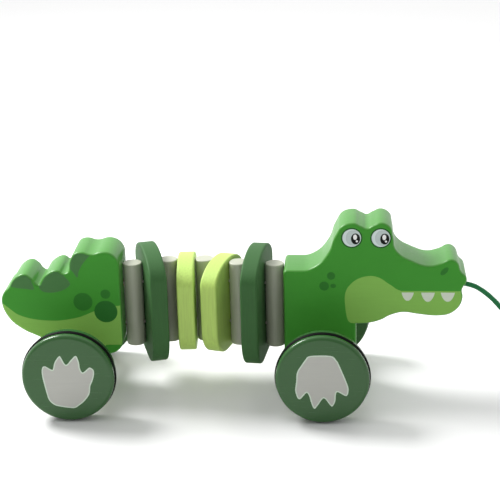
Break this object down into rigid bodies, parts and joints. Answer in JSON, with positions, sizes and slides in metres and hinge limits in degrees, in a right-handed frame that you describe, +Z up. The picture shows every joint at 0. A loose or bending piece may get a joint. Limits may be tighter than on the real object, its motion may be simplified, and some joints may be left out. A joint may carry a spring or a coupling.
{
  "type": "pull along crocodile",
  "caption": "Wooden pull along crocodile: head and tail blocks on wheels, joined by arched discs that rock about upright dowels, with a cord out of the mouth.",
  "frame": {"origin": "on the floor, under the middle of the toy's bounding box without its cord", "axes": "+X from the tail towards the snout, +Y to the animal's left, +Z up; the head stands square to the axes and the discs and the tail keep the wriggle of the rest pose"},
  "size_m": [0.3965, 0.114, 0.1192],
  "materials": {
    "leaf_green_paint": "satin water based paint over solid wood, rounded edges",
    "dark_green_paint": "satin water based paint over solid wood",
    "lime_paint": "satin water based paint over solid wood",
    "grey_paint": "satin grey paint over a hardwood dowel",
    "black_rubber": "matte rubber",
    "green_cord": "braided polyester cord",
    "white_string": "braided elastic string",
    "bare_wood": "sanded beech",
    "cream_paint": "satin paint",
    "black_paint": "satin paint",
    "belly_green_paint": "satin paint",
    "spot_green_paint": "satin paint"
  },
  "bodies": {
    "head": {"head_block": "leaf_green_paint", "head_plug": "bare_wood", "head_string": "white_string", "mouth_knot": "green_cord", "pull_cord": "green_cord", "cord_coil": "green_cord", "cord_end": "green_cord", "pull_ball": "lime_paint", "end_knot": "green_cord"},
    "dowel_1": {"dowel_1": "grey_paint"},
    "dowel_2": {"dowel_2": "grey_paint"},
    "dowel_3": {"dowel_3": "grey_paint"},
    "dowel_4": {"dowel_4": "grey_paint"},
    "dowel_5": {"dowel_5": "grey_paint"},
    "disc_1": {"disc_1": "dark_green_paint", "disc_1_string": "white_string"},
    "disc_2": {"disc_2": "lime_paint", "disc_2_string": "white_string"},
    "disc_3": {"disc_3": "lime_paint", "disc_3_string": "white_string"},
    "disc_4": {"disc_4": "dark_green_paint", "disc_4_string": "white_string"},
    "tail": {"tail_block": "leaf_green_paint", "tail_plug": "bare_wood", "tail_string": "white_string", "string_knot": "white_string"},
    "front_wheels": {"front_axle": "bare_wood", "front_right_wheel": "dark_green_paint", "front_right_rubber_ring": "black_rubber", "front_right_spacer": "bare_wood", "front_left_wheel": "dark_green_paint", "front_left_rubber_ring": "black_rubber", "front_left_spacer": "bare_wood"},
    "rear_wheels": {"rear_axle": "bare_wood", "rear_right_wheel": "dark_green_paint", "rear_right_rubber_ring": "black_rubber", "rear_right_spacer": "bare_wood", "rear_left_wheel": "dark_green_paint", "rear_left_rubber_ring": "black_rubber", "rear_left_spacer": "bare_wood"}
  },
  "joints": [
    {"name": "dowel_1_swivel", "type": "hinge", "parent": "head", "child": "dowel_1", "pos_m": [0.0278, 0, 0.0588], "axis": [0, 0, 1], "range_deg": [-7, 13]},
    {"name": "disc_1_swivel", "type": "hinge", "parent": "dowel_1", "child": "disc_1", "pos_m": [0.0278, 0, 0.0588], "axis": [0, 0, 1], "range_deg": [-7, 13]},
    {"name": "dowel_2_swivel", "type": "hinge", "parent": "disc_1", "child": "dowel_2", "pos_m": [0.00433, 0.00247, 0.0588], "axis": [0, 0, 1], "range_deg": [-5.25, 14.75]},
    {"name": "disc_2_swivel", "type": "hinge", "parent": "dowel_2", "child": "disc_2", "pos_m": [0.00433, 0.00247, 0.0588], "axis": [0, 0, 1], "range_deg": [-5.25, 14.75]},
    {"name": "dowel_3_swivel", "type": "hinge", "parent": "disc_2", "child": "dowel_3", "pos_m": [-0.01841, 0.00877, 0.0588], "axis": [0, 0, 1], "range_deg": [-19.5, 0.5]},
    {"name": "disc_3_swivel", "type": "hinge", "parent": "dowel_3", "child": "disc_3", "pos_m": [-0.01841, 0.00877, 0.0588], "axis": [0, 0, 1], "range_deg": [-19.5, 0.5]},
    {"name": "dowel_4_swivel", "type": "hinge", "parent": "disc_3", "child": "dowel_4", "pos_m": [-0.04197, 0.00733, 0.0588], "axis": [0, 0, 1], "range_deg": [-16.75, 3.25]},
    {"name": "disc_4_swivel", "type": "hinge", "parent": "dowel_4", "child": "disc_4", "pos_m": [-0.04197, 0.00733, 0.0588], "axis": [0, 0, 1], "range_deg": [-16.75, 3.25]},
    {"name": "dowel_5_swivel", "type": "hinge", "parent": "disc_4", "child": "dowel_5", "pos_m": [-0.06454, 0.00043, 0.0588], "axis": [0, 0, 1], "range_deg": [-2, 18]},
    {"name": "tail_swivel", "type": "hinge", "parent": "dowel_5", "child": "tail", "pos_m": [-0.06454, 0.00043, 0.0588], "axis": [0, 0, 1], "range_deg": [-2, 18]},
    {"name": "front_axle_spin", "type": "hinge", "parent": "head", "child": "front_wheels", "pos_m": [0.0595, 0, 0.03], "axis": [0, 1, 0], "continuous": true},
    {"name": "rear_axle_spin", "type": "hinge", "parent": "tail", "child": "rear_wheels", "pos_m": [-0.10093, -0.0002, 0.03], "axis": [-0.0175, 0.9998, 0], "continuous": true}
  ]
}
